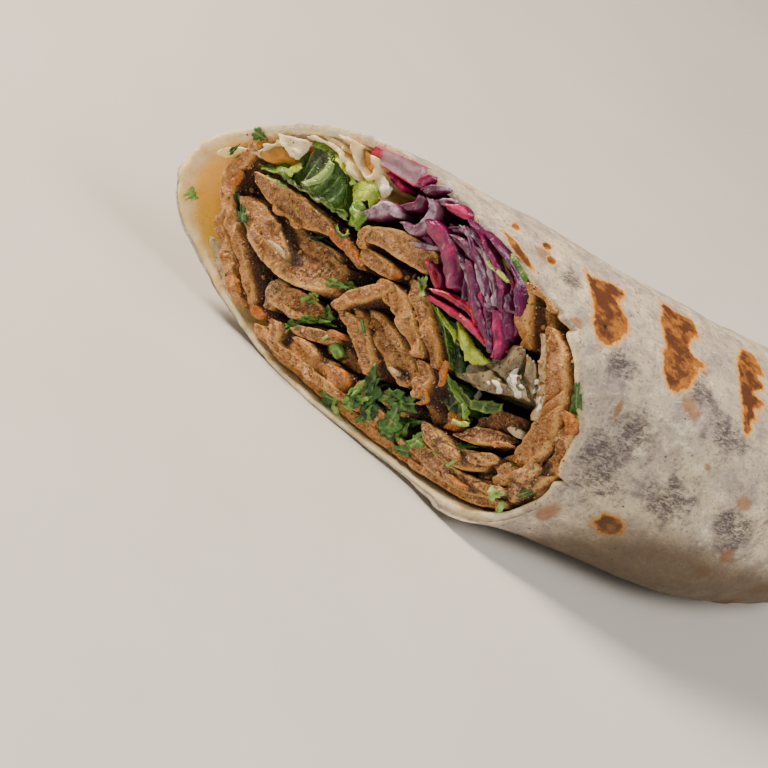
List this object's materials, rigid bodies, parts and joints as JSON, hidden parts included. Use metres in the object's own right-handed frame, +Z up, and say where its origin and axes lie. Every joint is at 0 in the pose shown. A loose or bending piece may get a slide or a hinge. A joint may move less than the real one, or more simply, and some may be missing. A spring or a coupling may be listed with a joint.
{
  "type": "doner kebab wrap half",
  "caption": "Half of a meat wrap, cut on the slant: rolled flatbread round sliced meat, lettuce and red cabbage.",
  "frame": {"origin": "middle of the whole wrap's box, on the surface that it lies on", "axes": "+X along the roll from the slanted cut to the tucked end, +Y across to the sharp tip of the cut, +Z up"},
  "size_m": [0.1714, 0.0708, 0.0577],
  "materials": {
    "flatbread": "toasted soft wheat flatbread, cream with grill marks",
    "meat": "roasted sliced meat, moist, granular, rust-coloured crust",
    "lettuce": "fresh crinkled leaf, slightly glossy",
    "cabbage": "pickled red cabbage and radish, wet gloss",
    "onion": "translucent onion with white sauce"
  },
  "bodies": {
    "root": {"flatbread": "flatbread", "meat_upper_slab": "meat", "meat_broad_slab": "meat", "meat_far_wall_slice": "meat", "meat_far_low_slice": "meat", "meat_pale_chunk": "meat", "meat_arched_slice": "meat", "meat_long_slice": "meat", "meat_ragged_slice": "meat", "meat_low_middle_slice": "meat", "meat_folded_slice": "meat", "meat_curled_slice": "meat", "meat_near_wall_slice": "meat", "meat_near_rim_slice": "meat", "meat_near_low_slice": "meat", "meat_near_under_slice": "meat", "meat_near_corner_slice": "meat", "meat_leaning_slab": "meat", "meat_shaded_slab": "meat", "meat_bottom_chunk": "meat", "meat_thin_bottom_slice": "meat", "meat_herb_bed_low": "meat", "meat_herb_bed_high": "meat", "lettuce_large_leaf": "lettuce", "lettuce_far_leaf": "lettuce", "lettuce_curly_leaf": "lettuce", "lettuce_top_leaf": "lettuce", "lettuce_middle_leaf": "lettuce", "lettuce_frilly_leaf": "lettuce", "lettuce_dark_leaf": "lettuce", "lettuce_small_dark_leaf": "lettuce", "cabbage_shreds": "cabbage", "radish_stick": "cabbage", "cabbage_point": "cabbage", "onion_piece": "onion"}
  },
  "joints": []
}
